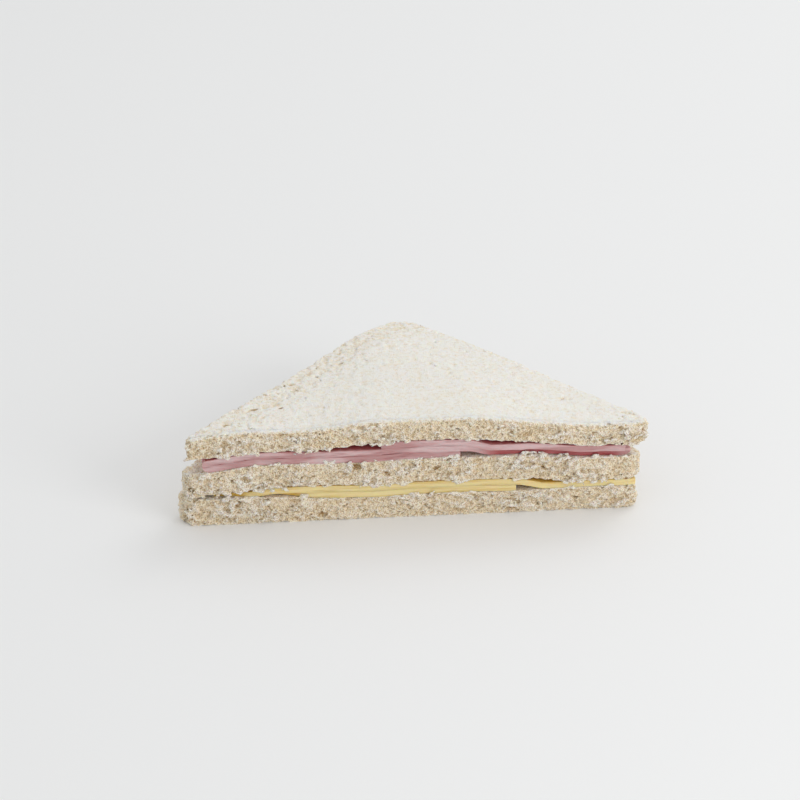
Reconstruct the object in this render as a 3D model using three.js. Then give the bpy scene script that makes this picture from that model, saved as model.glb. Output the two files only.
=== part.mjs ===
// A crustless club sandwich, halved corner to corner: three slices of white bread, with cheese in the
// lower gap and folded ham in the upper one. Nothing holds it together but its own weight, so every
// layer is laid on what is under it, and its height is worked out from that.
// Millimetres, +Z up. The knife cut runs along X and faces -Y, the square corner points to +Y, and the
// origin is the middle of the footprint, on the surface that the sandwich stands on.
import * as THREE from "three";

// Bread: a square slice with its crusts trimmed off, halved by a knife that ran a little in front of
// its corners, so that each end of the cut is blunt.
const SLICE_SIDE = 105;
const BACK_RADIUS = 8.8; // the square corner at the back, as the loaf tin rounds it
const TIP_RADIUS = 3; // the corners at the ends of the cut
const EDGE_SOFT = 0.4; // crumb has no sharp edge: a face stops this far inside the rim
const RIM_FLAT = 0.8; // share of a slice's thickness that stands at its full outline
const CRUMB_ROUGH = 0.35; // how far the torn crumb of a rim stands in and out
const TOP_THICK = 7;
const MIDDLE_THICK = 8.3;
const BOTTOM_THICK = 8;
const BREAD_WAVE = 0.25; // rise and fall of a slice's upper face
const BREAD_WAVE_LENGTH = 46;
const BREAD_SAG = 0.12; // steepest fall of a slice beyond what holds it up, per mm

// The bottom slice was less pressed at its left end.
const HEEL_SWELL = 1.6;
const HEEL_END = -28;
const HEEL_RUN = 24;

// How each slice lies over the knife's line: the middle of its diagonal, and its twist in degrees.
const BOTTOM_LIE = { x: -1.4, y: 4.0, twist: -1.2 };
const MIDDLE_LIE = { x: 0, y: 4.6, twist: 0 };
const TOP_LIE = { x: 2.0, y: 3.2, twist: 1.0 };

// Cheese: cut from a block. A whole slice covers the bread, and the corner of a second lies under it
// to fill the middle. Both were cut thinner towards their left ends.
const CHEESE_THICK = 1.8;
const CHEESE_THIN_END = 0.7;
const CHEESE_TAPER = 18; // length of the thinner end
const CHEESE_SIDE = 99;
const CHEESE_MIDDLE = 4.3; // where the middle of the whole slice lies along the cut
const CORNER_PIECE_SIDE = 58;
const CORNER_PIECE_MIDDLE = -7;
const CHEESE_CORNER_RADIUS = 2;
const CHEESE_SETBACK = 0.5; // cheese pulls back from the knife a little
const THIN_END_SETBACK = 2.2; // and its thin end further
const CHEESE_SAG = 0.3;

// Ham: two slices, each folded over at its outer end. The lower leaf of the left slice runs on under
// the right one, which makes the middle of the sandwich stand higher than its ends.
const HAM_THICK = 1.8;
const HAM_SLIT = 0.35; // between the two leaves of a fold
const HAM_SAG = 0.35;
const HAM_REACH = 58; // how deep a folded slice reaches back from the cut
const HAM_CORNER_RADIUS = 14;
const LEFT_HAM_FOLD = -66;
const LEFT_HAM_LOWER_END = 15;
const RIGHT_HAM_START = -8.7;
const RIGHT_HAM_FOLD = 69;
const HAM_END_GAP = 2.2; // from the left slice's upper leaf to the right slice
const HAM_SETBACK = 0.3;
const LOWER_LEAF_SETBACK = 1.3; // the right slice's lower leaf has drawn back into the shade
const LOWER_LEAF_DRAWN = [10, 32]; // where along the cut it draws back

const SAG_START = 2; // how far a layer runs on level before it begins to sag
const LAY_GAP = 0.3; // air between a layer and what it lies on
const FILLING_INSET = 2.5; // ham and cheese stop this far inside the trimmed sides of the bread

// Fineness of the model.
const GRID_STEP = 1;
const EASE_TIMES = 6; // how often the bends of a layer are smoothed
const BREAD_COLUMNS = 50;
const BREAD_ROWS = 8;
const END_CROWDING = 0.4; // how much closer the columns stand at both ends of the cut
const CHEESE_COLUMNS = 36;
const CORNER_PIECE_COLUMNS = 22;
const CHEESE_ROWS = 8;
const HAM_COLUMN_LENGTH = 3;
const HAM_ROWS = 5;
const HAM_BEND_STEPS = 6;

const smooth = THREE.MathUtils.smoothstep;
const lerp = THREE.MathUtils.lerp;
const DIAGONAL = Math.SQRT1_2;
const QUARTER = Math.PI / 2;

// Plan of a rounded square, cut along y = 0. Both of its edges are functions of x: front is the cut
// with the short stumps beside it, and back is the two sides that meet in the square corner.
function cutSquare({ side, lie, backRadius, tipRadius, crowding = 0 }) {
  const twist = THREE.MathUtils.degToRad(lie.twist);
  const arcAt = (angle, radius) => {
    const reach = side * DIAGONAL - radius / DIAGONAL;
    return {
      x: lie.x + reach * Math.cos(angle),
      y: lie.y + reach * Math.sin(angle),
      radius,
    };
  };
  const right = arcAt(twist, tipRadius);
  const back = arcAt(twist + QUARTER, backRadius);
  const left = arcAt(twist + 2 * QUARTER, tipRadius);
  const round = (arc, x, sign) =>
    arc.y + sign * Math.sqrt(Math.max(0, arc.radius ** 2 - (x - arc.x) ** 2));
  // The straight sides face these ways, counted anticlockwise from the right.
  const facing = [0.5, 1.5, 2.5, -0.5].map((n) => twist + n * QUARTER);
  const straight = (n, x) =>
    lie.y + (side / 2 - (x - lie.x) * Math.cos(facing[n])) / Math.sin(facing[n]);
  const touch = (arc, n) => arc.x + arc.radius * Math.cos(facing[n]);
  return {
    crowding,
    middle: lie.x,
    inset: side * (1 - DIAGONAL),
    left: left.x - 0.9 * left.radius,
    right: right.x + 0.9 * right.radius,
    front(x) {
      if (x < touch(left, 2)) return Math.max(0, round(left, x, -1));
      if (x > touch(right, 3)) return Math.max(0, round(right, x, -1));
      return Math.max(0, straight(x < lie.x ? 2 : 3, x));
    },
    back(x) {
      if (x < touch(left, 1)) return round(left, x, 1);
      if (x < touch(back, 1)) return straight(1, x);
      if (x < touch(back, 0)) return round(back, x, 1);
      return x < touch(right, 0) ? straight(0, x) : round(right, x, 1);
    },
  };
}

// A plan cut down to what the bread covers, drawn back from the knife by setback.
function within(plan, bread, setback) {
  const front = (x) => Math.max(plan.front(x), bread.front(x)) + setback(x);
  const back = (x) => Math.min(plan.back(x), bread.back(x) - FILLING_INSET);
  let { left, right } = plan;
  const width = CHEESE_THICK / 2; // it is never cut to less of a point than this
  while (back(left) - front(left) < width) left += GRID_STEP / 4;
  while (back(right) - front(right) < width) right -= GRID_STEP / 4;
  return { ...plan, left, right, front, back };
}

// True where a plan covers a point, or comes within margin of it.
function covers(plan, x, y, margin = GRID_STEP) {
  if (x < plan.left - margin || x > plan.right + margin) return false;
  const column = THREE.MathUtils.clamp(x, plan.left, plan.right);
  return y > plan.front(column) - margin && y < plan.back(column) + margin;
}

// Heights over the whole sandwich, on a square grid: the surface that the next layer lies on.
class Bed {
  constructor(fill = 0) {
    this.half = Math.ceil(SLICE_SIDE * 0.8);
    this.wide = Math.ceil((2 * this.half) / GRID_STEP) + 1;
    this.deep = Math.ceil(this.half / GRID_STEP) + 11;
    this.z = new Float64Array(this.wide * this.deep).fill(fill);
  }

  x(i) {
    return i * GRID_STEP - this.half;
  }

  y(j) {
    return (j - 5) * GRID_STEP;
  }

  // A new bed whose heights come from rule(x, y, height here).
  map(rule) {
    const bed = new Bed();
    for (let j = 0; j < this.deep; j++)
      for (let i = 0; i < this.wide; i++) {
        const k = j * this.wide + i;
        bed.z[k] = rule(this.x(i), this.y(j), this.z[k]);
      }
    return bed;
  }

  at(x, y) {
    const u = THREE.MathUtils.clamp((x + this.half) / GRID_STEP, 0, this.wide - 1.001);
    const v = THREE.MathUtils.clamp(y / GRID_STEP + 5, 0, this.deep - 1.001);
    const [i, j] = [Math.floor(u), Math.floor(v)];
    const k = j * this.wide + i;
    const near = lerp(this.z[k], this.z[k + 1], u - i);
    const far = lerp(this.z[k + this.wide], this.z[k + this.wide + 1], u - i);
    return lerp(near, far, v - j);
  }

  // Fills the grid so that nothing falls away from a high point more steeply than slope.
  spread(slope) {
    const { wide, deep, z } = this;
    const step = slope * GRID_STEP;
    const raise = (k, from, drop) => {
      if (z[from] - drop > z[k]) z[k] = z[from] - drop;
    };
    for (const way of [1, -1])
      for (let row = 0; row < deep; row++)
        for (let column = 0; column < wide; column++) {
          const j = way > 0 ? row : deep - 1 - row;
          const i = way > 0 ? column : wide - 1 - column;
          const k = j * wide + i;
          const inside = i - way >= 0 && i - way < wide;
          if (inside) raise(k, k - way, step);
          if (j - way < 0 || j - way >= deep) continue;
          const before = k - way * wide;
          raise(k, before, step);
          if (inside) raise(k, before - way, step / DIAGONAL);
          if (i + way >= 0 && i + way < wide) raise(k, before + way, step / DIAGONAL);
        }
    return this;
  }

  blurred(times) {
    let bed = this;
    for (let n = 0; n < times; n++) {
      const last = bed;
      bed = last.map(
        (x, y, z) =>
          (z * 4 +
            last.at(x - GRID_STEP, y) +
            last.at(x + GRID_STEP, y) +
            last.at(x, y - GRID_STEP) +
            last.at(x, y + GRID_STEP)) /
          8,
      );
    }
    return bed;
  }
}

// The underside of a sheet with this plan, laid on the bed: it touches the high points, bridges the
// hollows, and sags beyond its last support no more steeply than slope.
function laid(bed, plan, slope) {
  const held = bed.map((x, y, z) => (covers(plan, x, y) ? z : -Infinity));
  const draped = held.spread(slope);
  const hung = draped.map((x, y, z) =>
    Math.max(
      z,
      draped.at(x - SAG_START, y),
      draped.at(x + SAG_START, y),
      draped.at(x, y - SAG_START),
      draped.at(x, y + SAG_START),
    ),
  );
  const eased = hung.blurred(EASE_TIMES);
  return hung.map((x, y, z) => Math.max(z, eased.at(x, y)) + LAY_GAP);
}

function cover(bed, plan, top) {
  return bed.map((x, y, z) => (covers(plan, x, y) ? Math.max(z, top(x, y)) : z));
}

// A closed solid from levels of points: each level is a grid of columns by rows, the first is the
// outer face and the last the inner one, and the levels between them only shape the rim.
function layeredSolid(columns, rows, levels, point) {
  const corners = [];
  const index = new Map();
  const vertex = (i, j, level) => {
    const key = `${i},${j},${level}`;
    if (!index.has(key)) {
      index.set(key, corners.length / 3);
      corners.push(...point(i, j, level));
    }
    return index.get(key);
  };
  const faces = [];
  const quad = (a, b, c, d) => faces.push(a, b, c, a, c, d);
  const last = levels - 1;
  for (let i = 0; i < columns; i++)
    for (let j = 0; j < rows; j++) {
      const cell = [[i, j], [i + 1, j], [i + 1, j + 1], [i, j + 1]];
      quad(...cell.map(([a, b]) => vertex(a, b, 0)));
      quad(...cell.reverse().map(([a, b]) => vertex(a, b, last)));
    }
  const rim = [];
  for (let i = 0; i < columns; i++) rim.push([i, 0]);
  for (let j = 0; j < rows; j++) rim.push([columns, j]);
  for (let i = columns; i > 0; i--) rim.push([i, rows]);
  for (let j = rows; j > 0; j--) rim.push([0, j]);
  rim.forEach(([i, j], n) => {
    const [p, q] = rim[(n + 1) % rim.length];
    for (let level = 0; level < last; level++)
      quad(
        vertex(i, j, level),
        vertex(i, j, level + 1),
        vertex(p, q, level + 1),
        vertex(p, q, level),
      );
  });
  const geometry = new THREE.BufferGeometry();
  geometry.setAttribute("position", new THREE.Float32BufferAttribute(corners, 3));
  geometry.setIndex(faces);
  geometry.computeVertexNormals();
  return geometry;
}

function planPoint(plan, columns, rows, i, j) {
  const turn = (4 * QUARTER * i) / columns;
  const along = (turn - plan.crowding * Math.sin(turn)) / (4 * QUARTER);
  const x = lerp(plan.left, plan.right, along);
  return [x, lerp(plan.front(x), plan.back(x), j / rows)];
}

// A number between -1 and 1 that looks random but is the same each time.
function scatter(i, j) {
  const n = Math.sin(i * 12.9898 + j * 78.233) * 43758.5453;
  return 2 * (n - Math.floor(n)) - 1;
}

// A bread slice between two heights. Its rim is full in the middle of its thickness and soft at both
// faces, and the crumb there is uneven, on the cut most of all.
function breadGeometry(plan, under, over) {
  const rimShare = [1, 0.5 + RIM_FLAT / 2, 0.5 - RIM_FLAT / 2, 0];
  const incentre = [plan.middle, plan.inset];
  const soft = 1 - EDGE_SOFT / plan.inset;
  return layeredSolid(BREAD_COLUMNS, BREAD_ROWS, rimShare.length, (i, j, level) => {
    const onFace = level === 0 || level === rimShare.length - 1;
    const [x, y] = planPoint(plan, BREAD_COLUMNS, BREAD_ROWS, i, j).map((value, axis) =>
      onFace ? lerp(incentre[axis], value, soft) : value,
    );
    const torn = onFace ? 0 : CRUMB_ROUGH * scatter(i + plan.middle, level + j);
    const z = lerp(under(x, y), over(x, y), rimShare[level]);
    return [x, j === 0 ? y + Math.abs(torn) : y - Math.abs(torn) * (j === BREAD_ROWS), z];
  });
}

function cheeseGeometry(plan, columns, under, over) {
  return layeredSolid(columns, CHEESE_ROWS, 2, (i, j, level) => {
    const [x, y] = planPoint(plan, columns, CHEESE_ROWS, i, j);
    return [x, y, level === 0 ? over(x, y) : under(x, y)];
  });
}

// Plan of a folded slice of ham between two places along the cut.
function hamPlan(bread, left, right, setback) {
  const middle = (left + right) / 2;
  const edge = (x) => {
    const off = Math.abs(x - middle) - ((right - left) / 2 - HAM_CORNER_RADIUS);
    if (off <= 0) return HAM_REACH;
    const drop = Math.sqrt(Math.max(0, HAM_CORNER_RADIUS ** 2 - off ** 2));
    return HAM_REACH - HAM_CORNER_RADIUS + drop;
  };
  return {
    left,
    right,
    front: (x) => bread.front(x) + setback(x),
    back: (x) => Math.min(edge(x), bread.back(x) - FILLING_INSET),
  };
}

// One slice of ham folded over at its left end, side -1, or at its right end, side 1. The sheet is
// followed from the free end of its lower leaf, round the fold, to the free end of its upper leaf.
function foldedHamGeometry(side, lower, upper, under) {
  const turn = HAM_THICK + HAM_SLIT / 2;
  const fold = (side < 0 ? lower.left : lower.right) - side * turn;
  const freeEnd = (plan) => (side < 0 ? plan.right : plan.left);
  const steps = (plan) =>
    Math.max(2, Math.round(Math.abs(fold - freeEnd(plan)) / HAM_COLUMN_LENGTH));
  const stations = [];
  for (let n = 0; n < steps(lower); n++)
    stations.push({ x: lerp(freeEnd(lower), fold, n / steps(lower)), plan: lower, angle: 0 });
  for (let n = 0; n < HAM_BEND_STEPS; n++)
    stations.push({ x: fold, plan: lower, angle: (Math.PI * n) / HAM_BEND_STEPS });
  for (let n = 0; n <= steps(upper); n++)
    stations.push({ x: lerp(fold, freeEnd(upper), n / steps(upper)), plan: upper, angle: Math.PI });
  return layeredSolid(stations.length - 1, HAM_ROWS, 2, (i, j, level) => {
    const { x, plan, angle } = stations[i];
    const row = (side < 0 ? j : HAM_ROWS - j) / HAM_ROWS;
    const y = lerp(plan.front(x), plan.back(x), row);
    const radius = level === 0 ? turn : HAM_SLIT / 2;
    return [
      x + side * radius * Math.sin(angle),
      y,
      under(x, y) + turn - radius * Math.cos(angle),
    ];
  });
}

const material = (color, roughness) =>
  new THREE.MeshStandardMaterial({ color, roughness, metalness: 0 });
const crumb = material(0xe9e0cb, 0.95);
const cheddar = material(0xe3cd8a, 0.45);
const curedHam = material(0xc4949a, 0.4);

const sandwich = new THREE.Group();
function add(name, geometry, finish) {
  const mesh = new THREE.Mesh(geometry, finish);
  mesh.name = name;
  sandwich.add(mesh);
}

const bread = (lie) =>
  cutSquare({
    side: SLICE_SIDE,
    lie,
    backRadius: BACK_RADIUS,
    tipRadius: TIP_RADIUS,
    crowding: END_CROWDING,
  });
const wave = (x, y, start) =>
  BREAD_WAVE * Math.sin((2 * Math.PI * (x + 0.7 * y)) / BREAD_WAVE_LENGTH + start);

// From 0 at the thin left end of a piece of cheese to 1 where it is full.
const fullness = (x, left) => smooth(x, left, left + CHEESE_TAPER);

let bed = new Bed();
function layBread(name, plan, thickness) {
  const base = bed;
  const rests = name === "bottom_slice" ? base : laid(base, plan, BREAD_SAG);
  const under = (x, y) => rests.at(x, y);
  const over = (x, y) => under(x, y) + thickness(x, y);
  add(name, breadGeometry(plan, under, over), crumb);
  bed = cover(base, plan, over);
}

function layCheese(name, plan, columns) {
  const rests = laid(bed, plan, CHEESE_SAG);
  const under = (x, y) => rests.at(x, y);
  const over = (x, y) =>
    under(x, y) + lerp(CHEESE_THIN_END, CHEESE_THICK, fullness(x, plan.left));
  add(name, cheeseGeometry(plan, columns, under, over), cheddar);
  bed = cover(bed, plan, over);
}

function layHam(name, side, lower, upper) {
  const rests = laid(bed, lower, HAM_SAG);
  const under = (x, y) => rests.at(x, y);
  add(name, foldedHamGeometry(side, lower, upper, under), curedHam);
  bed = cover(bed, lower, (x, y) => under(x, y) + HAM_THICK);
  bed = cover(bed, upper, (x, y) => under(x, y) + 2 * HAM_THICK + HAM_SLIT);
}

const bottomPlan = bread(BOTTOM_LIE);
const middlePlan = bread(MIDDLE_LIE);
const topPlan = bread(TOP_LIE);

layBread("bottom_slice", bottomPlan, (x, y) => {
  const heel = 1 - smooth(x, HEEL_END - HEEL_RUN, HEEL_END);
  return BOTTOM_THICK + HEEL_SWELL * heel + wave(x, y, 0);
});

function cheesePlan(side, middle) {
  const whole = cutSquare({
    side,
    lie: { x: middle, y: CHEESE_SETBACK, twist: 0 },
    backRadius: CHEESE_CORNER_RADIUS,
    tipRadius: CHEESE_CORNER_RADIUS,
  });
  const setback = (x) => CHEESE_SETBACK + THIN_END_SETBACK * (1 - fullness(x, whole.left));
  return within(whole, bottomPlan, setback);
}

layCheese(
  "cheese_corner_piece",
  cheesePlan(CORNER_PIECE_SIDE, CORNER_PIECE_MIDDLE),
  CORNER_PIECE_COLUMNS,
);
layCheese("cheese_slice", cheesePlan(CHEESE_SIDE, CHEESE_MIDDLE), CHEESE_COLUMNS);

layBread("middle_slice", middlePlan, (x, y) => MIDDLE_THICK + wave(x, y, 2));

const flush = () => HAM_SETBACK;
layHam(
  "ham_left",
  -1,
  hamPlan(middlePlan, LEFT_HAM_FOLD, LEFT_HAM_LOWER_END, flush),
  hamPlan(middlePlan, LEFT_HAM_FOLD, RIGHT_HAM_START - HAM_END_GAP, flush),
);
const drawnBack = (x) =>
  HAM_SETBACK + LOWER_LEAF_SETBACK * smooth(x, ...LOWER_LEAF_DRAWN);
layHam(
  "ham_right",
  1,
  hamPlan(middlePlan, RIGHT_HAM_START, RIGHT_HAM_FOLD, drawnBack),
  hamPlan(middlePlan, RIGHT_HAM_START, RIGHT_HAM_FOLD, flush),
);

layBread("top_slice", topPlan, (x, y) => TOP_THICK + wave(x, y, 4));

// The middle of the footprint is the origin.
const box = new THREE.Box3().setFromObject(sandwich);
const centre = box.getCenter(new THREE.Vector3());
sandwich.position.set(-centre.x, -centre.y, -box.min.z);

export default sandwich;
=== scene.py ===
"""A halved club sandwich on a pale studio table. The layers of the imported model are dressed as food:
open bread crumb, sliced cheese and folded ham. Everything is in the model's frame, in metres."""
import math

import bpy
from mathutils import Euler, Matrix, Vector


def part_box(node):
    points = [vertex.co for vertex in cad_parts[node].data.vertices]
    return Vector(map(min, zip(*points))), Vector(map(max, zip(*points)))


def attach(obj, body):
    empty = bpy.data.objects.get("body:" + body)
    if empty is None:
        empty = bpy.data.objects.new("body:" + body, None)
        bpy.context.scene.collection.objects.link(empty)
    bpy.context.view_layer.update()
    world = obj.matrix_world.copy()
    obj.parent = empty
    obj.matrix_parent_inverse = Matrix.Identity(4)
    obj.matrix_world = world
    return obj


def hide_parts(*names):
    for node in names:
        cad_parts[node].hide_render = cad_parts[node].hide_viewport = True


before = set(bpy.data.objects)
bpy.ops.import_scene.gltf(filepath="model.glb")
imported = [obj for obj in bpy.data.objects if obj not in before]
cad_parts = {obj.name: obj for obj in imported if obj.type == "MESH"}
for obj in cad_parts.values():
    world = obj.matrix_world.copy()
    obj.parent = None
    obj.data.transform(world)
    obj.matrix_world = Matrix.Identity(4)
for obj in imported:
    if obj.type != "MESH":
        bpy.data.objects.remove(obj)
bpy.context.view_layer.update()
MM = 0.001


# Bread. Three slices of white sandwich loaf, baked in a tin, trimmed of their crusts and sliced. The
# knife that halved the sandwich tore the crumb open along the cut, and pushed small white crumbs out
# over the fillings. Only the trimmed sides, the cut and the top of the sandwich show open bubbles.
CUT_VOXEL = 0.3 * MM
CRUMB_VOXEL = 0.56 * MM
ADAPTIVITY = 0.02
CUT_ZONE = 2.0 * MM  # depth of the finely modelled crumb behind the cut
ZONE_OVERLAP = 1.6 * MM
ZONE_SINKS = 0.6 * MM  # over this last part of the overlap, each zone sinks under the other
ZONE_DIP = 0.9 * MM  # and this far
ZONE_MARGIN = 1.8 * MM
WELD = 0.001 * MM
LARGE_BUBBLE = 3.2 * MM  # spacing of the few large bubbles
LARGE_DEPTH = 1.7 * MM  # how far into the crumb they are open
LARGE_PICK = (0.6, 1.0)  # the part of the random draw that gives a bubble, from none to the largest
LARGE_RADII = (0.0, 0.46)  # in spacings
LARGE_STRETCH = (0.75, 0.9, 1.2)  # bubbles are long along the cut and flat, as the slices are pressed
SMALL_BUBBLE = 0.85 * MM
SMALL_DEPTH = 0.9 * MM
SMALL_PICK = (0.0, 1.0)
SMALL_RADII = (0.15, 0.8)
SMALL_STRETCH = (0.85, 1.0, 1.1)
BUBBLE_WARP = (1.3 * MM, 0.5 * MM)  # size and height of the unevenness of the bubbles' walls
TORN = 1.7 * MM  # how far the crumb's surface stands in and out
TORN_SIZE = 2.0 * MM
LUMP = 1.5 * MM  # how far a pushed-out crumb stands proud
LUMP_SIZE = 2.1 * MM
CLUMP_SIZE = 6.0 * MM
LUMPS_START = (0.6 * MM, 1.8 * MM)  # z: none is pushed out under the sandwich
BESIDE_CUT = (0.8 * MM, 2.2 * MM)  # the torn edges of the faces fade over this depth behind the cut
TIPS = (58 * MM, 66 * MM)  # the ends of the slices, which the layers above them leave bare
TIPS_OPEN = 0.7
TOP_ROUGH = 0.6  # the top of the sandwich, as a share of the cut's roughness
TOP_OPEN = (0.35, 0.8)  # its share of open bubbles, in its middle and along its left side and the cut
FLANK = (-35 * MM, -8 * MM)  # x - y near the left side, where the knife opened more bubbles
SMALLEST_CRUMB = 500  # points: anything smaller would float free of the slice
# Crumb colours: white on the faces, cream along the cut, and brown for the flecks of the grain. By
# depth below the surface they also paint light and shade: whiter where a crumb stands proud, cream in
# shallow pits, brown deep in the bubbles.
CRUMB_WHITE = "#F8F5EE"
CRUMB_CREAM = "#F1E1C4"
CRUMB_FLECK_AND_SHADE = "#A5804D"
HIDDEN_SHADE_TINT = 0.6  # how far the faces that lie on a filling share the cut's cream colour, a painted warm shade between the layers
FLANK_TINT = 0.12  # the same for the top's left side
EDGE_TINT = 0.5  # for the edges of the faces along the cut
SIDE_TINT = 0.7  # and for the trimmed sides at the back
BACK_SIDES = (2 * MM, 5 * MM)  # they begin this far behind the cut
BLOTCH_SIZE = 3.0 * MM
PORE_SIZE = 1.2 * MM
GRAIN_SIZE = 0.38 * MM


def linear(hex_colour):
    """The scene-linear colour of an sRGB hex string."""
    parts = [int(hex_colour[k : k + 2], 16) / 255 for k in (1, 3, 5)]
    bent = [p / 12.92 if p <= 0.04045 else ((p + 0.055) / 1.055) ** 2.4 for p in parts]
    return (*bent, 1.0)


class Tree:
    """Adds nodes to a node tree, in the order that they are used."""

    def __init__(self, tree):
        self.tree = tree

    def add(self, kind, inputs=None, **settings):
        made = self.tree.nodes.new(kind)
        for name, value in settings.items():
            setattr(made, name, value)
        for key, value in (inputs or {}).items():
            socket = made.inputs[key]
            if isinstance(value, bpy.types.NodeSocket):
                self.tree.links.new(value, socket)
            else:
                socket.default_value = value
        return made

    def math(self, operation, *values, clamp=False):
        made = self.add("ShaderNodeMath", dict(enumerate(values)), operation=operation, use_clamp=clamp)
        return made.outputs[0]

    def vector(self, operation, *values):
        made = self.add("ShaderNodeVectorMath", dict(enumerate(values)), operation=operation)
        return made.outputs["Value" if operation in ("DOT_PRODUCT", "LENGTH") else "Vector"]

    def scaled(self, vector, amount):
        made = self.add("ShaderNodeVectorMath", {0: vector, "Scale": amount}, operation="SCALE")
        return made.outputs["Vector"]

    def axes(self, vector):
        return self.add("ShaderNodeSeparateXYZ", {0: vector}).outputs

    def ramp(self, value, low, high, to_low=0.0, to_high=1.0, smooth=True):
        """value from low to high becomes to_low to to_high, and stays there outside that range."""
        numbers = {
            "Value": value,
            "From Min": low,
            "From Max": high,
            "To Min": to_low,
            "To Max": to_high,
        }
        kind = "SMOOTHSTEP" if smooth else "LINEAR"
        return self.add("ShaderNodeMapRange", numbers, interpolation_type=kind).outputs["Result"]

    def noise(self, place, size, detail, **inputs):
        """Noise whose largest features are this size."""
        scale = self.math("DIVIDE", 1.0, size)
        numbers = {"Vector": place, "Scale": scale, "Detail": detail, **inputs}
        return self.add("ShaderNodeTexNoise", numbers).outputs

    def kept(self, geometry, name, value, kind="FLOAT"):
        """The geometry with a value stored on each of its points."""
        inputs = {"Geometry": geometry, "Name": name, "Value": value}
        made = self.add("GeometryNodeStoreNamedAttribute", inputs, data_type=kind, domain="POINT")
        return made.outputs["Geometry"]


def blend(nodes, factor, first, second):
    """A colour between two others, each a socket or an sRGB hex string."""
    mix = nodes.add("ShaderNodeMix", {"Factor": factor}, data_type="RGBA")
    ends = [socket for socket in mix.inputs if socket.type == "RGBA"]
    for socket, colour in zip(ends, (first, second)):
        if isinstance(colour, str):
            socket.default_value = linear(colour)
        else:
            nodes.tree.links.new(colour, socket)
    return next(socket for socket in mix.outputs if socket.type == "RGBA")


def new_material(name):
    """A material, its Tree, its shader node and the place on the object that its patterns follow."""
    material = bpy.data.materials.new(name)
    material.use_nodes = True
    nodes = Tree(material.node_tree)
    shader = material.node_tree.nodes["Principled BSDF"]
    place = nodes.add("ShaderNodeTexCoord").outputs["Object"]
    return material, nodes, shader, place


def crumb_material():
    """White crumb: white on its faces, cream along the cut, with fine brown flecks in its grain. Its
    depth below the slice's surface also paints light and shade on it: whiter where it stands proud,
    cream in the pits of its faces, and a painted warm shade, light brown, in its pores and deep in its
    bubbles, where light has passed through it."""
    material, nodes, shader, place = new_material("white bread crumb")
    depth = nodes.add("ShaderNodeAttribute", attribute_name="depth").outputs["Fac"]
    cut = nodes.add("ShaderNodeAttribute", attribute_name="cut").outputs["Fac"]
    blotches = nodes.noise(place, BLOTCH_SIZE, 4.0)["Fac"]
    pores = nodes.noise(place, PORE_SIZE, 3.0)["Fac"]
    grain = nodes.noise(place, GRAIN_SIZE, 2.0)["Fac"]
    depth = nodes.math("ADD", depth, nodes.ramp(blotches, 0.35, 0.65, -0.1 * MM, 0.15 * MM))
    cut = nodes.math("ADD", cut, nodes.ramp(pores, 0.35, 0.65, -0.3, 0.3), clamp=True)
    # Painted light and shade by depth: the faces turn cream in their pits, and along the cut the crumbs
    # that stand proud stay whiter.
    on_face = nodes.ramp(depth, 0.1 * MM, 0.9 * MM, smooth=False)
    on_face = nodes.math("ADD", on_face, nodes.ramp(pores, 0.5, 0.7, 0.0, 0.12), clamp=True)
    along_cut = nodes.ramp(depth, -0.8 * MM, 0.35 * MM, 0.25, 1.0, smooth=False)
    cream = nodes.add("ShaderNodeMix", {0: cut, 2: on_face, 3: along_cut}, data_type="FLOAT").outputs[0]
    colour = blend(nodes, cream, CRUMB_WHITE, CRUMB_CREAM)
    fleck = nodes.ramp(grain, 0.46, 0.64, 0.0, 0.7)
    fleck = nodes.math("MULTIPLY", fleck, nodes.ramp(cut, 0.0, 1.0, 0.06, 1.0))
    # Painted shade: deep in the bubbles the crumb turns brown, added to the brown flecks of its grain.
    brown = nodes.math("ADD", fleck, nodes.ramp(depth, 0.5 * MM, 1.7 * MM, 0.0, 0.75), clamp=True)
    colour = blend(nodes, brown, colour, CRUMB_FLECK_AND_SHADE)
    nodes.tree.links.new(colour, shader.inputs["Base Color"])
    raised = nodes.math("MULTIPLY", grain, -1.0)
    bump = nodes.add("ShaderNodeBump", {"Strength": 1.0, "Distance": 0.4 * MM, "Height": raised})
    nodes.tree.links.new(bump.outputs["Normal"], shader.inputs["Normal"])
    shader.inputs["Roughness"].default_value = 0.9
    shader.inputs["Specular IOR Level"].default_value = 0.2
    shader.inputs["Subsurface Weight"].default_value = 0.3
    shader.inputs["Subsurface Radius"].default_value = (1.0, 0.75, 0.45)
    shader.inputs["Subsurface Scale"].default_value = 1.0 * MM
    return material


def geometry_tree(name, sockets):
    """A Geometry Nodes tree with these named inputs, and its Tree, input node and output node."""
    tree = bpy.data.node_groups.new(name, "GeometryNodeTree")
    tree.interface.new_socket("Geometry", in_out="INPUT", socket_type="NodeSocketGeometry")
    for socket, kind in sockets.items():
        tree.interface.new_socket(socket, in_out="INPUT", socket_type="NodeSocket" + kind)
    tree.interface.new_socket("Geometry", in_out="OUTPUT", socket_type="NodeSocketGeometry")
    nodes = Tree(tree)
    given = nodes.add("NodeGroupInput").outputs
    result = nodes.add("NodeGroupOutput")
    return nodes, given, result


def finished(nodes, geometry, finish, result):
    """Ends a tree: the instances are made real and given their material."""
    real = nodes.add("GeometryNodeRealizeInstances", {"Geometry": geometry}).outputs["Geometry"]
    done = nodes.add("GeometryNodeSetMaterial", {"Geometry": real, "Material": finish})
    nodes.tree.links.new(done.outputs["Geometry"], result.inputs["Geometry"])


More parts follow.
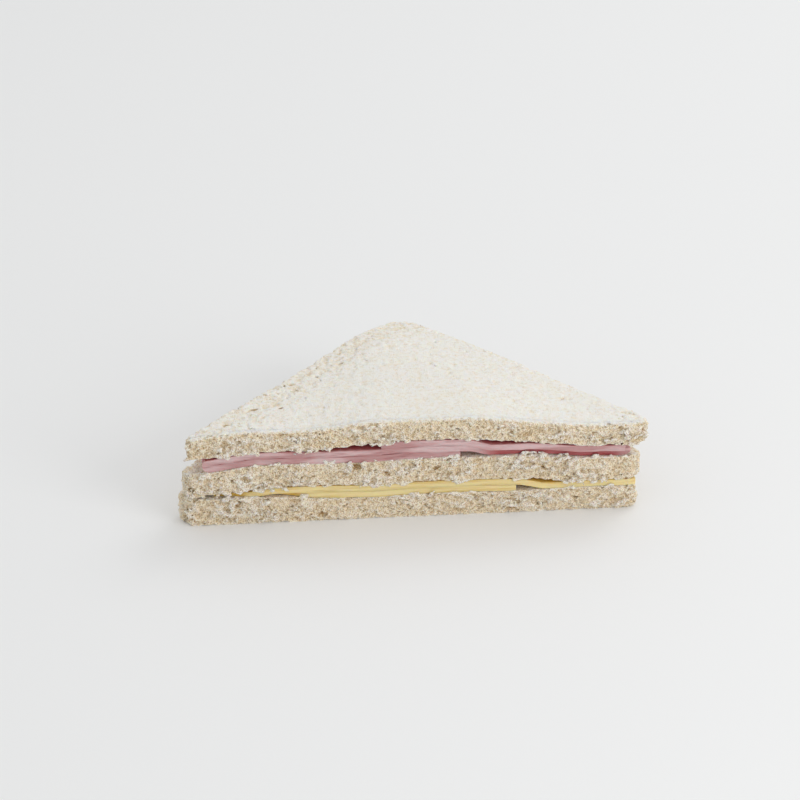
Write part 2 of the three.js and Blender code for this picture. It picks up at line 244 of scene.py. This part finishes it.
def grown(name, tree, values):
    """The plain mesh that a Geometry Nodes tree makes with these inputs, as an object at the origin."""
    seed = bpy.data.objects.new(name + "_seed", bpy.data.meshes.new(name + "_seed"))
    bpy.context.scene.collection.objects.link(seed)
    modifier = seed.modifiers.new("grow", "NODES")
    modifier.node_group = tree
    for item in tree.interface.items_tree:
        if item.in_out == "INPUT" and item.name in values:
            modifier[item.identifier] = values[item.name]
    seed.update_tag()
    evaluated = seed.evaluated_get(bpy.context.evaluated_depsgraph_get())
    mesh = bpy.data.meshes.new_from_object(evaluated)
    mesh.name = name
    seed.modifiers.remove(modifier)
    bpy.data.objects.remove(seed)
    made = bpy.data.objects.new(name, mesh)
    bpy.context.scene.collection.objects.link(made)
    return made


def crumb_tree():
    """Bread crumb inside one box: the slice's solid, torn along the cut and opened by bubbles."""
    nodes, given, result = geometry_tree(
        "Bread crumb",
        {
            "Slice": "Object",
            "Low": "Vector",
            "High": "Vector",
            "Counts": "Vector",
            "Voxel": "Float",
            "Whole at": "Float",
            "Sunk at": "Float",
            "Zone dip": "Float",
            "Cut": "Float",
            "Open top": "Float",
            "Large bubble": "Float",
            "Large depth": "Float",
            "Small bubble": "Float",
            "Small depth": "Float",
            "Torn": "Float",
            "Lump": "Float",
            "Smallest crumb": "Float",
            "Adaptivity": "Float",
            "Seed": "Float",
            "Finish": "Material",
        },
    )
    loose = nodes.add("GeometryNodeObjectInfo", {"Object": given["Slice"]}).outputs["Geometry"]
    merged = nodes.add("GeometryNodeMergeByDistance", {"Geometry": loose, "Distance": WELD})
    outwards = nodes.add("GeometryNodeInputNormal").outputs["Normal"]
    solid = nodes.kept(merged.outputs["Geometry"], "facing", outwards, "FLOAT_VECTOR")
    here = nodes.add("GeometryNodeInputPosition").outputs[0]
    at = nodes.axes(here)
    shift = nodes.add("ShaderNodeCombineXYZ", {"X": given["Seed"]}).outputs[0]
    seeded = nodes.vector("ADD", here, shift)

    def skin(place):
        """How far a place lies below the slice's surface, and which way that surface faces."""
        nearest = nodes.add("GeometryNodeProximity", {"Geometry": solid, "Sample Position": place})
        stored = nodes.add(
            "GeometryNodeInputNamedAttribute", {"Name": "facing"}, data_type="FLOAT_VECTOR"
        ).outputs["Attribute"]
        sampled = nodes.add(
            "GeometryNodeSampleNearestSurface",
            {"Mesh": solid, "Value": stored, "Sample Position": place},
            data_type="FLOAT_VECTOR",
        )
        normal = sampled.outputs["Value"]
        away = nodes.vector("SUBTRACT", nearest.outputs["Position"], place)
        side = nodes.math("SIGN", nodes.vector("DOT_PRODUCT", away, normal))
        return nodes.math("MULTIPLY", side, nearest.outputs["Distance"]), normal

    def warped(size, amount, detail):
        """An uneven offset."""
        colour = nodes.noise(seeded, size, detail, Roughness=0.6)["Color"]
        return nodes.scaled(nodes.vector("SUBTRACT", colour, (0.5, 0.5, 0.5)), amount)

    # Where the crumb is torn or opened: the cut and the trimmed sides fully, the top of the sandwich
    # a little and more along its left side and the cut, and the faces that lie on a filling only at
    # the slices' tips.
    depth, normal = skin(here)
    facing = nodes.axes(normal)
    upright = nodes.ramp(nodes.math("ABSOLUTE", facing["Z"]), 0.55, 0.95, 1.0, 0.0)
    top = nodes.math("MULTIPLY", nodes.ramp(facing["Z"], 0.3, 0.8), given["Open top"])
    flank = nodes.ramp(nodes.math("SUBTRACT", at["X"], at["Y"]), *FLANK, 1.0, 0.0)
    behind_cut = nodes.math("SUBTRACT", at["Y"], given["Cut"])
    by_cut = nodes.ramp(behind_cut, *BESIDE_CUT, 1.0, 0.0)
    top_open = nodes.ramp(nodes.math("MAXIMUM", flank, by_cut), 0.0, 1.0, *TOP_OPEN)
    top_open = nodes.math("MULTIPLY", top, top_open)
    tips = nodes.ramp(nodes.math("ABSOLUTE", at["X"]), *TIPS, 0.0, TIPS_OPEN)
    bare = nodes.math("MAXIMUM", upright, tips)
    rough = nodes.math("MAXIMUM", bare, nodes.math("MULTIPLY", top, TOP_ROUGH))
    rough = nodes.math("MAXIMUM", rough, by_cut)
    opened = nodes.math("MAXIMUM", bare, top_open)

    # The torn surface, with clumps of small crumbs pushed out of it beside the cut.
    moved = warped(TORN_SIZE, nodes.math("MULTIPLY", given["Torn"], rough), 4.0)
    inside, _ = skin(nodes.vector("ADD", here, moved))
    clumps = nodes.noise(nodes.vector("MULTIPLY", seeded, (0.6, 1.0, 1.0)), CLUMP_SIZE, 1.0)["Fac"]
    lumps = nodes.noise(nodes.vector("MULTIPLY", seeded, (0.75, 1.0, 1.2)), LUMP_SIZE, 3.0)["Fac"]
    proud = nodes.math("MULTIPLY", nodes.ramp(clumps, 0.42, 0.6), nodes.ramp(lumps, 0.46, 0.62))
    proud = nodes.math("MULTIPLY", proud, nodes.math("MULTIPLY", by_cut, given["Lump"]))
    proud = nodes.math("MULTIPLY", proud, nodes.ramp(at["Z"], *LUMPS_START))
    upper = nodes.math("MULTIPLY", nodes.ramp(facing["Z"], 0.0, 0.5), given["Open top"])
    proud = nodes.math("MULTIPLY", proud, nodes.math("SUBTRACT", 1.0, upper))
    inside = nodes.math("ADD", inside, proud)
    whole_at, sunk_at = given["Whole at"], given["Sunk at"]
    dip = nodes.ramp(at["Y"], whole_at, sunk_at, 0.0, given["Zone dip"], smooth=False)
    inside = nodes.math("SUBTRACT", inside, dip)

    def bubbles(spacing, depth_limit, picked, radii, stretch):
        """Distance from the walls of the bubbles whose random draw lies in the picked range."""
        stretched = nodes.vector("MULTIPLY", seeded, stretch)
        place = nodes.vector("ADD", stretched, warped(*BUBBLE_WARP, 2.0))
        cell = nodes.add(
            "ShaderNodeTexVoronoi",
            {"Vector": place, "Scale": nodes.math("DIVIDE", 1.0, spacing), "Randomness": 1.0},
        )
        pick = nodes.axes(cell.outputs["Color"])["X"]
        radius = nodes.ramp(pick, *picked, *radii, smooth=False)
        fade = nodes.ramp(inside, nodes.math("MULTIPLY", depth_limit, 0.5), depth_limit, 1.0, 0.0)
        radius = nodes.math("MULTIPLY", radius, nodes.math("MULTIPLY", opened, fade))
        return nodes.math("MULTIPLY", nodes.math("SUBTRACT", cell.outputs["Distance"], radius), spacing)

    large = bubbles(
        given["Large bubble"], given["Large depth"], LARGE_PICK, LARGE_RADII, LARGE_STRETCH
    )
    small = bubbles(
        given["Small bubble"], given["Small depth"], SMALL_PICK, SMALL_RADII, SMALL_STRETCH
    )
    wall = nodes.math("MINIMUM", large, small)
    closed = nodes.ramp(opened, 0.02, 0.1, 1.0, 0.0)
    wall = nodes.math("ADD", wall, nodes.math("MULTIPLY", closed, 5 * MM))
    field = nodes.math("MINIMUM", inside, wall)
    reach = nodes.math("MULTIPLY", given["Voxel"], 1.5)
    density = nodes.ramp(field, nodes.math("MULTIPLY", reach, -1.0), reach, smooth=False)
    counts = nodes.axes(given["Counts"])
    cube = nodes.add(
        "GeometryNodeVolumeCube",
        {
            "Density": density,
            "Background": 0.0,
            "Min": given["Low"],
            "Max": given["High"],
            "Resolution X": counts["X"],
            "Resolution Y": counts["Y"],
            "Resolution Z": counts["Z"],
        },
    )
    mesh = nodes.add(
        "GeometryNodeVolumeToMesh",
        {"Volume": cube.outputs["Volume"], "Threshold": 0.5, "Adaptivity": given["Adaptivity"]},
        resolution_mode="GRID",
    ).outputs["Mesh"]
    island = nodes.add("GeometryNodeInputMeshIsland").outputs["Island Index"]
    points = nodes.add(
        "GeometryNodeAccumulateField",
        {0: 1.0, "Group ID": island},
        data_type="FLOAT",
        domain="POINT",
    )
    adrift = nodes.math("LESS_THAN", points.outputs["Total"], given["Smallest crumb"])
    whole = nodes.add(
        "GeometryNodeDeleteGeometry", {"Geometry": mesh, "Selection": adrift}, domain="POINT"
    ).outputs["Geometry"]
    smooth = nodes.add("GeometryNodeSetShadeSmooth", {"Geometry": whole}).outputs["Geometry"]

    # What the material needs: the depth below the slice's surface, and the cut's share of the tint,
    # which on the faces between the layers is painted warm shade.
    layer_shade = nodes.math("MULTIPLY", nodes.math("SUBTRACT", 1.0, top), HIDDEN_SHADE_TINT)
    tinted = nodes.math("MAXIMUM", layer_shade, nodes.math("MULTIPLY", flank, FLANK_TINT))
    tinted = nodes.math("MAXIMUM", tinted, nodes.math("MULTIPLY", by_cut, EDGE_TINT))
    side_tint = nodes.ramp(behind_cut, *BACK_SIDES, 1.0, SIDE_TINT)
    tinted = nodes.math("MAXIMUM", nodes.math("MULTIPLY", upright, side_tint), tinted)
    marked = nodes.kept(nodes.kept(smooth, "depth", depth), "cut", tinted)
    finished(nodes, marked, given["Finish"], result)
    return nodes.tree


def joined(name, parts):
    """One mesh object from several."""
    with bpy.context.temp_override(
        active_object=parts[0], object=parts[0], selected_objects=parts, selected_editable_objects=parts
    ):
        bpy.ops.object.join()
    parts[0].name = name
    parts[0].data.name = name
    return parts[0]


crumb = crumb_material()
crumb_growth = crumb_tree()


def bread(name, seed, open_top):
    """A slice, grown in two boxes: fine crumb along the cut, and coarser crumb behind it."""
    low, high = (Vector(corner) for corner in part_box(name))
    margin = Vector((1, 1, 1)) * ZONE_MARGIN
    fine_low = low - margin
    coarse_high = high + margin
    border = low.y + CUT_ZONE
    overlap_end = border + ZONE_OVERLAP
    fine_high = Vector((coarse_high.x, overlap_end, coarse_high.z))
    coarse_low = Vector((fine_low.x, border, fine_low.z))
    zones = [
        (fine_low, fine_high, CUT_VOXEL, overlap_end, -ZONE_SINKS),
        (coarse_low, coarse_high, CRUMB_VOXEL, border, ZONE_SINKS),
    ]
    parts = []
    for number, (start, end, step, sunk_at, sinks) in enumerate(zones):
        values = {
            "Slice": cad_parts[name],
            "Low": tuple(start),
            "High": tuple(end),
            "Counts": tuple(float(round(size / step)) for size in end - start),
            "Voxel": step,
            "Whole at": sunk_at + sinks,
            "Sunk at": sunk_at,
            "Zone dip": ZONE_DIP,
            "Cut": low.y,
            "Open top": open_top,
            "Large bubble": LARGE_BUBBLE,
            "Large depth": LARGE_DEPTH,
            "Small bubble": SMALL_BUBBLE,
            "Small depth": SMALL_DEPTH,
            "Torn": TORN,
            "Lump": LUMP,
            "Smallest crumb": SMALLEST_CRUMB,
            "Adaptivity": ADAPTIVITY,
            "Seed": seed,
            "Finish": crumb,
        }
        parts.append(grown(f"{name}_zone_{number}", crumb_growth, values))
    made = joined(name + "_crumb", parts)
    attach(made, "root")
    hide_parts(name)


bread("bottom_slice", 0.11, 0.0)
bread("middle_slice", 0.47, 0.0)
bread("top_slice", 0.83, 1.0)


# Cheese and ham. Both are cut in even sheets, from a block and a pressed joint, and laid or folded in
# the bread. The knife left fine ridges along their edges and squeezed the sheets together. The ham is
# moist and marbled, and a deeper red where its faces and its drawn-back leaf lie in shade.
CHEESE_LEVELS = 2  # how often each triangle of a sheet is divided
HAM_LEVELS = 3
CHEESE_UNEVEN = 0.15 * MM
CHEESE_RIDGE = 0.4 * MM
HAM_UNEVEN = 0.3 * MM
HAM_RIDGE = 0.9 * MM
UNEVEN_SIZE = 4.0 * MM
RIDGE_SIZE = 0.8 * MM
SHARP_ANGLE = math.radians(50)
SQUEEZED = 0.14 * MM  # the sheets fill the air between the layers by this much on each face
HAM_SEAM_GAP = 2.2 * MM  # between the left ham's upper leaf and the right ham
HAM_SEAM_PULL = 1.12 * MM  # each is pulled this far towards the other at its end
HAM_SEAM_REACH = 11 * MM
BACK_FROM_CUT = (0.8 * MM, 1.5 * MM)  # a sheet's edge is in shade from this far behind the cut
DEEP_INSIDE = (5 * MM, 12 * MM)  # there the shade ends, so the back edges have their plain colour
FOLD_END = (62 * MM, 68 * MM)  # x: the painted shade fades out towards the right ham's fold end, so the fold pales there
CHEESE_PALE = "#EDD8A0"
CHEESE_STREAK = "#DDBF7C"
CHEESE_SHADE = "#D9AE4C"
HAM_PALE = "#D5B6B6"
HAM_ROSE = "#BC8E8D"
HAM_VEIN = "#9C5757"
HAM_SHADE = "#AE585A"


def sheet_tree():
    """A sheet with a fine mesh, slightly uneven faces, and ridges along its cut edge."""
    nodes, given, result = geometry_tree(
        "Sliced sheet",
        {
            "Sheet": "Object",
            "Levels": "Int",
            "Cut": "Float",
            "Squeezed": "Float",
            "Uneven": "Float",
            "Ridge": "Float",
            "Seam": "Float",
            "Seam pull": "Float",
            "Seam reach": "Float",
            "Sharp angle": "Float",
            "Finish": "Material",
        },
    )
    sheet = nodes.add("GeometryNodeObjectInfo", {"Object": given["Sheet"]}).outputs["Geometry"]
    merged = nodes.add("GeometryNodeMergeByDistance", {"Geometry": sheet, "Distance": WELD})
    fine = nodes.add(
        "GeometryNodeSubdivideMesh", {"Mesh": merged.outputs["Geometry"], "Level": given["Levels"]}
    ).outputs["Mesh"]
    here = nodes.add("GeometryNodeInputPosition").outputs[0]
    at = nodes.axes(here)
    facing = nodes.axes(nodes.add("GeometryNodeInputNormal").outputs["Normal"])
    cut = nodes.ramp(nodes.math("MULTIPLY", facing["Y"], -1.0), 0.3, 0.8)
    upright = nodes.ramp(nodes.math("ABSOLUTE", facing["Z"]), 0.6, 0.95, 1.0, 0.0)
    behind = nodes.math("SUBTRACT", at["Y"], given["Cut"])
    flat = nodes.math("SUBTRACT", 1.0, upright)
    shade = nodes.math("MAXIMUM", flat, nodes.ramp(behind, *BACK_FROM_CUT))
    shade = nodes.math("MULTIPLY", shade, nodes.ramp(behind, *DEEP_INSIDE, 1.0, 0.15))
    shade = nodes.math("MULTIPLY", shade, nodes.ramp(at["X"], *FOLD_END, 1.0, 0.1))
    marked = nodes.kept(fine, "shade", shade)

    def roughness(stretch, size):
        """An uneven direction at each point."""
        colour = nodes.noise(nodes.vector("MULTIPLY", here, stretch), size, 3.0)["Color"]
        return nodes.vector("SUBTRACT", colour, (0.5, 0.5, 0.5))

    uneven = nodes.scaled(roughness((1, 1, 1), UNEVEN_SIZE), given["Uneven"])
    ridges = nodes.vector("MULTIPLY", roughness((0.12, 1, 1), RIDGE_SIZE), (0.2, 1.0, 0.4))
    ridges = nodes.scaled(ridges, nodes.math("MULTIPLY", given["Ridge"], cut))
    swell = nodes.math("MULTIPLY", nodes.ramp(facing["Z"], -0.5, 0.5, -1.0, 1.0), given["Squeezed"])
    off_seam = nodes.math("ABSOLUTE", nodes.math("SUBTRACT", at["X"], given["Seam"]))
    near_seam = nodes.ramp(off_seam, 0.0, given["Seam reach"], 1.0, 0.0)
    pull = nodes.math("MULTIPLY", near_seam, given["Seam pull"])
    pulled = nodes.add("ShaderNodeCombineXYZ", {"X": pull, "Z": swell}).outputs[0]
    offset = nodes.vector("ADD", nodes.vector("ADD", uneven, ridges), pulled)
    moved = nodes.add(
        "GeometryNodeSetPosition", {"Geometry": marked, "Offset": offset}
    ).outputs["Geometry"]
    angle = nodes.add("GeometryNodeInputMeshEdgeAngle").outputs["Unsigned Angle"]
    sharp = nodes.add("FunctionNodeCompare", {"A": angle, "B": given["Sharp angle"]}).outputs["Result"]
    soft = nodes.add("GeometryNodeSetShadeSmooth", {"Geometry": moved}).outputs["Geometry"]
    creased = nodes.add(
        "GeometryNodeSetShadeSmooth",
        {"Geometry": soft, "Selection": sharp, "Shade Smooth": False},
        domain="EDGE",
    ).outputs["Geometry"]
    finished(nodes, creased, given["Finish"], result)
    return nodes.tree


def in_shade(nodes):
    """1 on a sheet's faces and where its edge lies back from the cut, 0 along the cut."""
    return nodes.add("ShaderNodeAttribute", attribute_name="shade").outputs["Fac"]


def cheese_material():
    """Mild cheese. The eye sees it pale, smooth and waxy, with fine streaks along the knife's path."""
    material, nodes, shader, place = new_material("sliced mild cheese")
    layered = nodes.vector("MULTIPLY", place, (0.05, 1.0, 1.0))
    streaks = nodes.noise(layered, 0.9 * MM, 3.0)["Fac"]
    colour = blend(nodes, nodes.ramp(streaks, 0.4, 0.68), CHEESE_PALE, CHEESE_STREAK)
    colour = blend(nodes, in_shade(nodes), colour, CHEESE_SHADE)
    nodes.tree.links.new(colour, shader.inputs["Base Color"])
    bump = nodes.add("ShaderNodeBump", {"Strength": 0.25, "Distance": 0.1 * MM, "Height": streaks})
    nodes.tree.links.new(bump.outputs["Normal"], shader.inputs["Normal"])
    shader.inputs["Roughness"].default_value = 0.42
    shader.inputs["Subsurface Weight"].default_value = 0.6
    shader.inputs["Subsurface Radius"].default_value = (1.0, 0.7, 0.25)
    shader.inputs["Subsurface Scale"].default_value = 1.6 * MM
    return material


def ham_material():
    """Cooked ham. The eye sees it moist and rosy, with long fibres, paler marbling and dark veins."""
    material, nodes, shader, place = new_material("cooked ham")
    grain = nodes.vector("MULTIPLY", place, (0.1, 0.5, 1.0))
    fibres = nodes.noise(grain, 0.8 * MM, 4.0, Distortion=0.6)["Fac"]
    marbling = nodes.noise(nodes.vector("MULTIPLY", place, (0.14, 0.5, 1.0)), 2.4 * MM, 3.0)["Fac"]
    lean = blend(nodes, nodes.ramp(marbling, 0.38, 0.64), HAM_ROSE, HAM_PALE)
    colour = blend(nodes, nodes.ramp(fibres, 0.56, 0.74, 0.0, 0.6), lean, HAM_VEIN)
    colour = blend(nodes, in_shade(nodes), colour, HAM_SHADE)
    nodes.tree.links.new(colour, shader.inputs["Base Color"])
    bump = nodes.add("ShaderNodeBump", {"Strength": 0.35, "Distance": 0.12 * MM, "Height": fibres})
    nodes.tree.links.new(bump.outputs["Normal"], shader.inputs["Normal"])
    shader.inputs["Roughness"].default_value = 0.36
    shader.inputs["Subsurface Weight"].default_value = 0.4
    shader.inputs["Subsurface Radius"].default_value = (1.0, 0.35, 0.3)
    shader.inputs["Subsurface Scale"].default_value = 1.2 * MM
    return material


sheet_growth = sheet_tree()
cheese = cheese_material()
ham = ham_material()
front_of_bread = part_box("middle_slice")[0][1]


def sheet(name, levels, uneven, ridge, finish, slot, seam=0.0, pull=0.0):
    """A sheet in its solid's place, which is drawn along X towards a seam where it has one."""
    values = {
        "Sheet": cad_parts[name],
        "Levels": levels,
        "Cut": front_of_bread,
        "Squeezed": SQUEEZED,
        "Uneven": uneven,
        "Ridge": ridge,
        "Seam": seam,
        "Seam pull": pull,
        "Seam reach": HAM_SEAM_REACH,
        "Sharp angle": SHARP_ANGLE,
        "Finish": finish,
    }
    made = grown(name + "_sheet", sheet_growth, values)
    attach(made, "root")
    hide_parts(name)


for name in ("cheese_corner_piece", "cheese_slice"):
    sheet(name, CHEESE_LEVELS, CHEESE_UNEVEN, CHEESE_RIDGE, cheese, "cheese")
right_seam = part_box("ham_right")[0][0]
left_seam = right_seam - HAM_SEAM_GAP
for name, seam, pull in (
    ("ham_left", left_seam, HAM_SEAM_PULL),
    ("ham_right", right_seam, -HAM_SEAM_PULL),
):
    sheet(name, HAM_LEVELS, HAM_UNEVEN, HAM_RIDGE, ham, "ham", seam, pull)


# Table, light and camera. The sandwich stands on a plain pale table in soft light: a softbox in front
# on the right, a larger one overhead, and bright walls all round. The camera looks down on the cut
# from in front, as the photograph does.
TABLE_SIDE = 6.0
TABLE_COLOUR = "#F1F1F1"
WALL_COLOUR = "#F5F6F6"
WALL_STRENGTH = 0.8
LIT_POINT = Vector((0, 0, 0.02))

half = TABLE_SIDE / 2
table_mesh = bpy.data.meshes.new("table")
corners = [(-half, -half, 0), (half, -half, 0), (half, half, 0), (-half, half, 0)]
table_mesh.from_pydata(corners, [], [(0, 1, 2, 3)])
table = bpy.data.objects.new("table", table_mesh)
bpy.context.scene.collection.objects.link(table)
# The eye sees an even, pale, matt ground.
table_paint, _, table_shader, _ = new_material("pale painted table")
table_shader.inputs["Base Color"].default_value = linear(TABLE_COLOUR)
table_shader.inputs["Roughness"].default_value = 0.8
table.data.materials.append(table_paint)

world = bpy.data.worlds.new("studio")
bpy.context.scene.world = world
world.use_nodes = True
world.node_tree.nodes["Background"].inputs["Color"].default_value = linear(WALL_COLOUR)
world.node_tree.nodes["Background"].inputs["Strength"].default_value = WALL_STRENGTH


def softbox(name, place, size, power):
    """A square area light that faces the sandwich."""
    light = bpy.data.lights.new(name, "AREA")
    light.size = size
    light.energy = power
    made = bpy.data.objects.new(name, light)
    made.location = place
    made.rotation_euler = (LIT_POINT - Vector(place)).to_track_quat("-Z", "Y").to_euler()
    bpy.context.scene.collection.objects.link(made)


softbox("overhead", (0.6, 0.55, 0.8), 0.6, 1.9)
softbox("front", (0.62, -0.6, 0.4), 0.5, 2.4)

CAMERA_AZIMUTH = math.radians(-3.86)
CAMERA_ELEVATION = math.radians(29.58)
CAMERA_ROLL = math.radians(-0.48)
CAMERA_DISTANCE = 1.0
PIXELS_PER_METRE = 3048
PHOTO_WIDTH = 800
CAMERA_TARGET = Vector((-0.9, 10.5, 15.6)) * MM
SENSOR = 36.0

camera_data = bpy.data.cameras.new("camera")
camera_data.sensor_width = SENSOR
camera_data.lens = PIXELS_PER_METRE * CAMERA_DISTANCE / PHOTO_WIDTH * SENSOR
camera = bpy.data.objects.new("camera", camera_data)
level = math.cos(CAMERA_ELEVATION)
back = Vector(
    (math.sin(CAMERA_AZIMUTH) * level, -math.cos(CAMERA_AZIMUTH) * level, math.sin(CAMERA_ELEVATION))
)
camera.location = CAMERA_TARGET + back * CAMERA_DISTANCE
turn = back.to_track_quat("Z", "Y").to_matrix().to_4x4()
camera.rotation_euler = (turn @ Euler((0, 0, CAMERA_ROLL)).to_matrix().to_4x4()).to_euler()
bpy.context.scene.collection.objects.link(camera)
bpy.context.scene.camera = camera
bpy.context.scene.view_settings.view_transform = "Standard"
